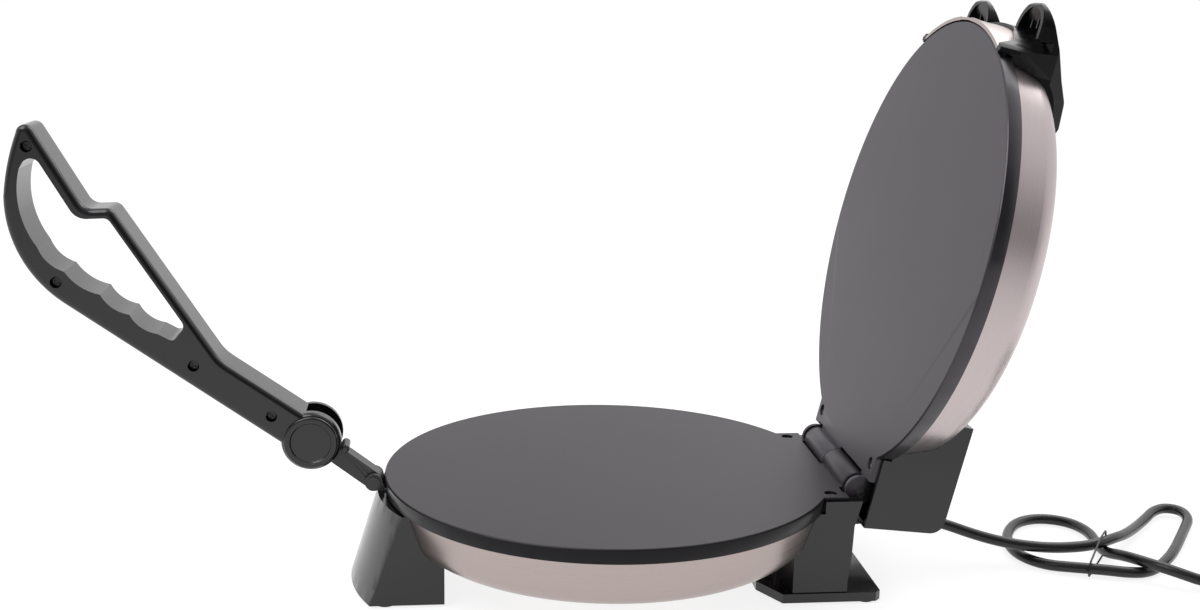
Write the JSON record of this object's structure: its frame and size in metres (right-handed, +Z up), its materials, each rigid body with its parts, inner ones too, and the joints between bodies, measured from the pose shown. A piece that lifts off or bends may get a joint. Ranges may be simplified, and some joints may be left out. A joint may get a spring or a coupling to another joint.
{
  "type": "electric roti maker",
  "caption": "Countertop flatbread press: heated round base plate, tilting lid with matching plate and shell, jointed pressing lever with looped grip, feet and trailing mains cord.",
  "frame": {"origin": "on the table, under the axis of the lower cooking plate", "axes": "+Z up; +Y from the pressing lever towards the lid hinge and the cord; +X along the hinge pin, towards the pictured side"},
  "size_m": [0.2651, 0.7538, 0.3273],
  "materials": {
    "nonstick_plate": "satin",
    "brushed_shell": "satin",
    "black_plastic": "gloss",
    "black_metal": "satin",
    "steel": "satin",
    "bright_steel": "gloss",
    "element": "matte",
    "galvanised": "satin",
    "black_rubber": "matte",
    "cord": "satin",
    "ceramic": "matte",
    "terminal": "satin",
    "fuse_sleeve": "satin",
    "lead_insulation": "matte",
    "brass": "satin"
  },
  "bodies": {
    "base": {"lower_plate": "nonstick_plate", "lower_shell": "brushed_shell", "front_foot": "black_plastic", "rear_foot": "black_plastic", "rubber_feet": "black_rubber", "lower_heating_element": "element", "lower_element_clamp": "galvanised", "lower_clamp_screws": "steel", "lower_posts": "steel", "lower_heat_shield": "galvanised", "lower_shell_screws": "steel", "lower_thermostat": "ceramic", "thermal_fuse": "fuse_sleeve", "terminal_block": "terminal", "lower_wiring": "lead_insulation", "wire_grommet": "black_rubber", "lower_tab_screws": "steel", "foot_screws": "steel", "hinge_pin": "black_metal", "link_bracket": "black_metal", "link_bracket_screws": "steel", "link_pin": "black_metal", "strain_relief": "black_rubber", "power_cord": "cord", "cord_tie": "cord", "cord_coil": "cord", "coil_tie": "cord", "cord_tail": "cord", "plug": "cord"},
    "lid": {"upper_plate": "nonstick_plate", "upper_shell": "brushed_shell", "lid_rear_cover": "black_plastic", "front_band": "brushed_shell", "lid_saddle": "black_plastic", "lid_fitting_screws": "steel", "upper_heating_element": "element", "upper_element_clamp": "galvanised", "upper_clamp_screws": "steel", "upper_posts": "steel", "upper_heat_shield": "galvanised", "upper_shell_screws": "steel", "upper_thermostat": "ceramic", "upper_tab_screws": "steel", "upper_wiring": "lead_insulation"},
    "link": {"link_bar": "black_metal", "stop_pin": "black_metal"},
    "handle": {"handle_near_half": "black_plastic", "handle_far_half": "black_plastic", "handle_screws": "black_metal", "hub_caps": "black_plastic", "hub_axle": "bright_steel", "hub_washers": "steel"}
  },
  "joints": [
    {"name": "lid_hinge", "type": "hinge", "parent": "base", "child": "lid", "pos_m": [0, 0.1343, 0.062], "axis": [1, 0, 0], "range_deg": [0, 103]},
    {"name": "link_pivot", "type": "hinge", "parent": "base", "child": "link", "pos_m": [0, -0.133, 0.0571], "axis": [-1, 0, 0], "range_deg": [0, 33.7]},
    {"name": "handle_pivot", "type": "hinge", "parent": "link", "child": "handle", "pos_m": [0, -0.1667, 0.083], "axis": [-1, 0, 0], "range_deg": [0, 70.9]}
  ]
}
